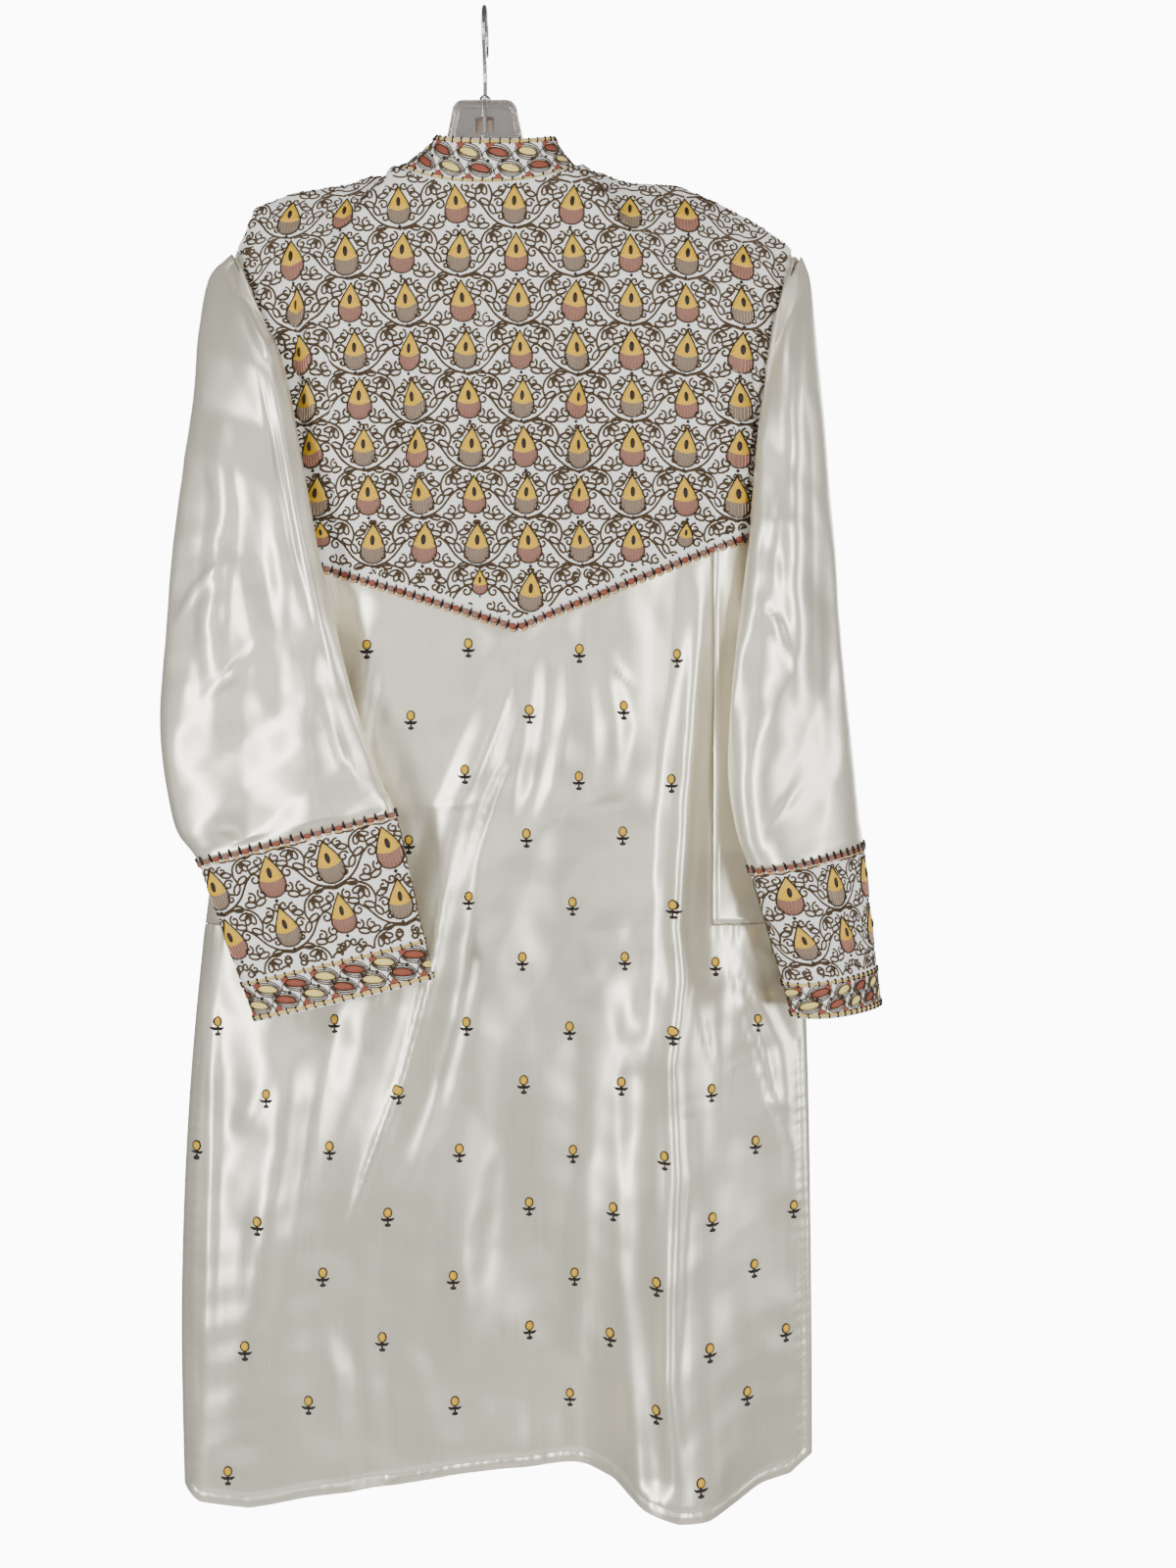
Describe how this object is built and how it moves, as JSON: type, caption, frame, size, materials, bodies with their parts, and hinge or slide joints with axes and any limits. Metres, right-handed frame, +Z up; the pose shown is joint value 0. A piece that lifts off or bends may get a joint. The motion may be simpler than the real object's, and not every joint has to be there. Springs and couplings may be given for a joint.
{
  "type": "kurta on a hanger",
  "caption": "Long-sleeved kurta with embroidered yokes, stand collar and deep cuffs, hung on a clear hanger with a metal hook",
  "frame": {"origin": "the inside top of the hanger's hook, where a rail carries it", "axes": "+Z up, -Y out of the garment's back, +X to the right of a viewer who looks at the back"},
  "size_m": [0.5474, 0.1673, 1.1611],
  "materials": {
    "silk": "glossy ivory silk",
    "embroidered": "white silk, densely embroidered in gold, mauve and brown thread",
    "button_pearl": "pearly",
    "hanger_plastic": "clear, smoky",
    "hook_metal": "bright plated wire"
  },
  "bodies": {
    "root": {"back_yoke": "embroidered", "front_yoke_left": "embroidered", "front_yoke_right": "embroidered", "collar": "embroidered", "placket": "embroidered", "cuff_left": "embroidered", "cuff_right": "embroidered", "back_panel": "silk", "front_panel": "silk", "side_panel_left": "silk", "side_panel_right": "silk", "sleeve_left": "silk", "sleeve_right": "silk", "button_1": "button_pearl", "button_2": "button_pearl", "button_3": "button_pearl", "button_4": "button_pearl", "button_5": "button_pearl", "hanger_body": "hanger_plastic", "hanger_hook": "hook_metal"}
  },
  "joints": []
}
